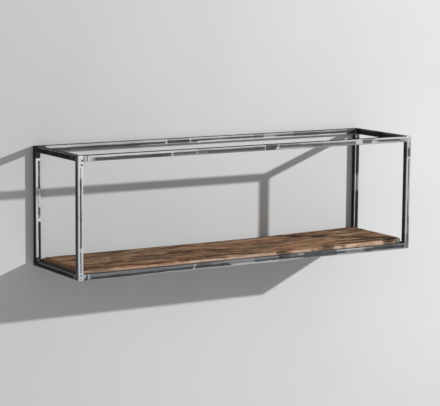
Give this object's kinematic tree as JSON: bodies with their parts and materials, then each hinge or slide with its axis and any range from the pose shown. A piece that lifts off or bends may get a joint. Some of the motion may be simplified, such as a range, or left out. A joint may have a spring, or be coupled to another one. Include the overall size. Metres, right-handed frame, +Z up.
{
  "type": "wall shelf",
  "caption": "Wall shelf: an open box frame welded from thin square steel tube, with a rough hardwood board lying in its bottom frame.",
  "frame": {"origin": "middle of the shelf's footprint, at the underside of the bottom frame", "axes": "+X runs along the shelf to the right as seen from the room, +Y points at the wall, +Z is up"},
  "size_m": [1, 0.25, 0.305],
  "materials": {
    "tube_steel": "raw mill-scale steel with ground bright arrises under clear lacquer",
    "ground_steel": "ground bright steel under clear lacquer",
    "weld_metal": "weld metal, ground flush outside and rippled inside",
    "flat_steel": "raw hot-rolled flat bar under clear lacquer",
    "screw_steel": "zinc-plated steel",
    "hardwood": "old rough hardwood, cracked and worn, matt"
  },
  "bodies": {
    "root": {"post_back_left": "tube_steel", "post_back_right": "tube_steel", "post_front_left": "tube_steel", "post_front_right": "tube_steel", "rail_bottom_back": "tube_steel", "rail_bottom_front": "tube_steel", "rail_top_back": "tube_steel", "rail_top_front": "tube_steel", "end_rail_bottom_left": "tube_steel", "end_rail_bottom_right": "tube_steel", "end_rail_top_left": "tube_steel", "end_rail_top_right": "tube_steel", "cap_bottom_back_left": "ground_steel", "cap_bottom_back_right": "ground_steel", "cap_bottom_front_left": "ground_steel", "cap_bottom_front_right": "ground_steel", "cap_top_back_left": "ground_steel", "cap_top_back_right": "ground_steel", "cap_top_front_left": "ground_steel", "cap_top_front_right": "ground_steel", "weld_bottom_back_left": "weld_metal", "weld_bottom_back_right": "weld_metal", "weld_bottom_front_left": "weld_metal", "weld_bottom_front_right": "weld_metal", "weld_top_back_left": "weld_metal", "weld_top_back_right": "weld_metal", "weld_top_front_left": "weld_metal", "weld_top_front_right": "weld_metal", "tab_weld_back_left": "weld_metal", "tab_weld_back_middle": "weld_metal", "tab_weld_back_right": "weld_metal", "tab_weld_front_left": "weld_metal", "tab_weld_front_middle": "weld_metal", "tab_weld_front_right": "weld_metal", "tab_back_left": "flat_steel", "tab_back_middle": "flat_steel", "tab_back_right": "flat_steel", "tab_front_left": "flat_steel", "tab_front_middle": "flat_steel", "tab_front_right": "flat_steel", "shelf_board": "hardwood", "board_screws": "screw_steel"}
  },
  "joints": []
}
